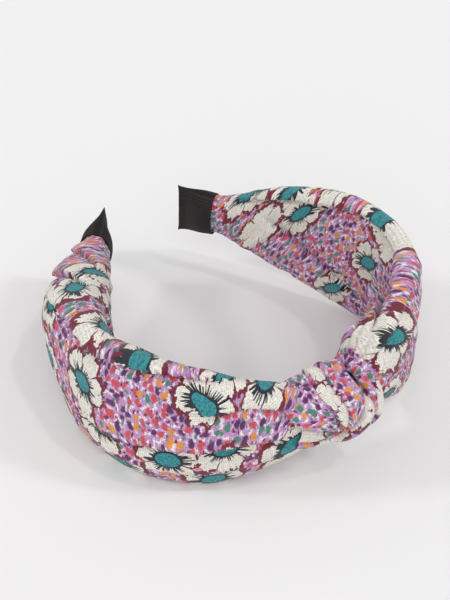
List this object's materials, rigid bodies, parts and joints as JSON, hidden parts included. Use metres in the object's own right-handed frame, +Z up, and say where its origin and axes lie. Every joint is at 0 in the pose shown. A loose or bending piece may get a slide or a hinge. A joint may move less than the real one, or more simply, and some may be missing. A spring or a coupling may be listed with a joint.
{
  "type": "knotted headband",
  "caption": "Wide fabric-covered headband with a knot at the crown, a stiff inner strip, and two flexible arms that end in ribbon caps.",
  "frame": {"origin": "middle of the overall box, on the surface that the headband lies on", "axes": "+Z up from the surface that the headband lies on, on its side; +Y from the knot at the crown towards the open ends; +X from the left arm to the right arm"},
  "size_m": [0.1598, 0.171, 0.0679],
  "materials": {
    "printed_crepe": "printed polyester crepe, matt",
    "strip": "black ABS strip",
    "interlining": "soft foam-backed interlining",
    "sewing_thread": "polyester sewing thread",
    "grosgrain": "black polyester grosgrain ribbon",
    "glue": "hot-melt glue"
  },
  "bodies": {
    "crown": {"core_strip": "strip", "knot_under_strand": "printed_crepe", "knot_wrap": "printed_crepe", "knot_strap": "printed_crepe", "knot_loop": "printed_crepe", "knot_tail": "printed_crepe", "knot_tack_stitches": "sewing_thread"},
    "left_arm": {"left_cover": "printed_crepe", "left_interlining": "interlining", "left_seam_thread": "sewing_thread", "left_gather_thread": "sewing_thread", "left_tip_ribbon": "grosgrain", "left_tip_glue": "glue"},
    "right_arm": {"right_cover": "printed_crepe", "right_interlining": "interlining", "right_seam_thread": "sewing_thread", "right_gather_thread": "sewing_thread", "right_tip_ribbon": "grosgrain", "right_tip_glue": "glue"}
  },
  "joints": [
    {"name": "left_arm_bend", "type": "hinge", "parent": "crown", "child": "left_arm", "pos_m": [-0.01025, -0.06502, 0.0323], "axis": [0, 0, 1], "range_deg": [-3, 12], "stiffness_Nm_per_rad": 1.15, "deforming": ["core_strip"]},
    {"name": "right_arm_bend", "type": "hinge", "parent": "crown", "child": "right_arm", "pos_m": [0.02457, -0.06499, 0.0323], "axis": [0, 0, 1], "range_deg": [-12, 3], "stiffness_Nm_per_rad": 1.15, "deforming": ["core_strip"]}
  ],
  "couplings": [
    {"joint": "right_arm_bend", "follows": "left_arm_bend", "ratio": -1}
  ]
}
